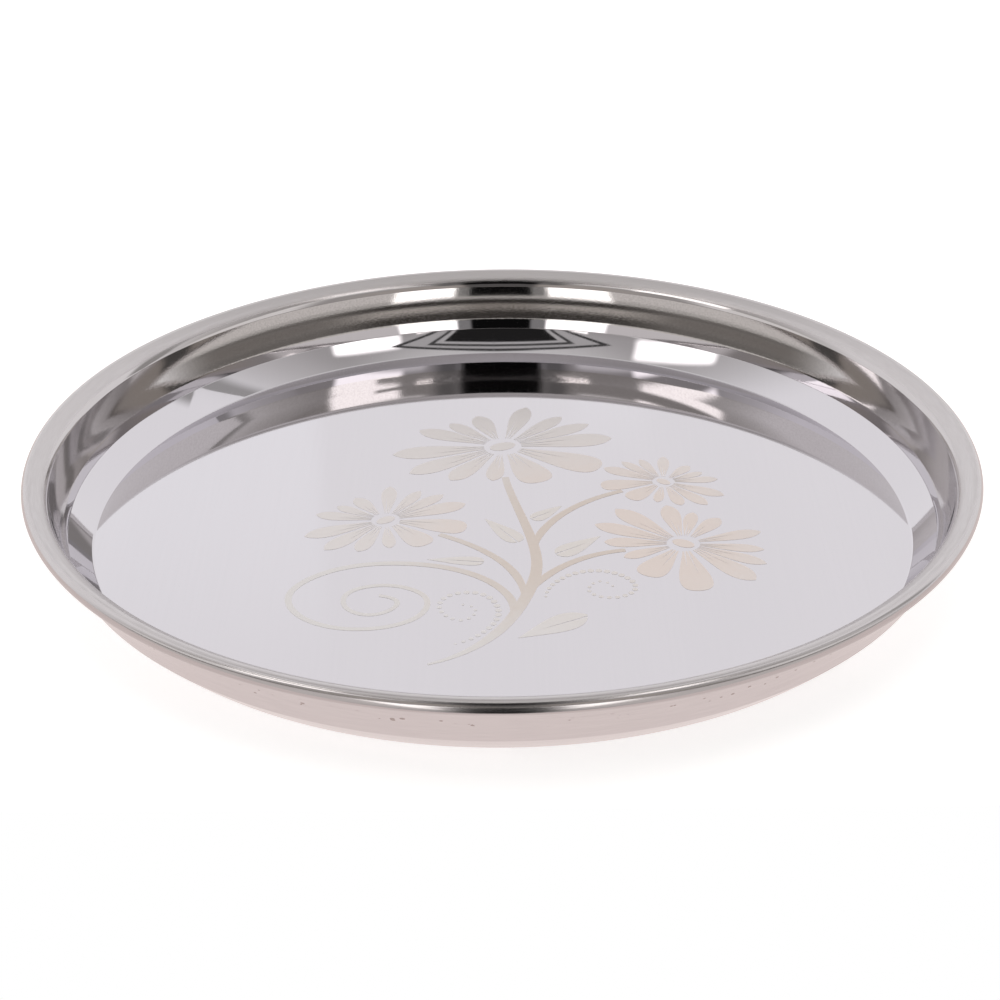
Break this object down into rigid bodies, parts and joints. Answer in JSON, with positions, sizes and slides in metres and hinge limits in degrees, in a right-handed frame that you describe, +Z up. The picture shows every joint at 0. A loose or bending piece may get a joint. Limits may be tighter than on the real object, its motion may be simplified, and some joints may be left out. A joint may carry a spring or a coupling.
{
  "type": "thali plate",
  "caption": "Round stainless steel thali plate with a flat base, a stepped and flared wall, a rolled rim and a floral spray etched on the base.",
  "frame": {"origin": "middle of the underside of the base, on the surface that the plate stands on", "axes": "+Z up out of the plate, -Y towards the person it is laid before, where the foot of the etched spray points"},
  "size_m": [0.3, 0.3, 0.027],
  "materials": {
    "mirror_steel": "mirror-polished stainless steel",
    "satin_steel": "satin stainless steel, brushed across the roll",
    "etched_petal": "etched, frosted pale beige",
    "etched_stem": "etched, frosted warm beige"
  },
  "bodies": {
    "root": {"pressed_dish": "mirror_steel", "rolled_rim": "satin_steel", "etched_flower_top": "etched_petal", "etched_flower_left": "etched_petal", "etched_flower_right_upper": "etched_petal", "etched_flower_right_lower": "etched_petal", "etched_leaves": "etched_petal", "etched_stem": "etched_stem", "etched_scroll": "etched_stem", "etched_dots_left": "etched_stem", "etched_dots_right": "etched_stem"}
  },
  "joints": []
}
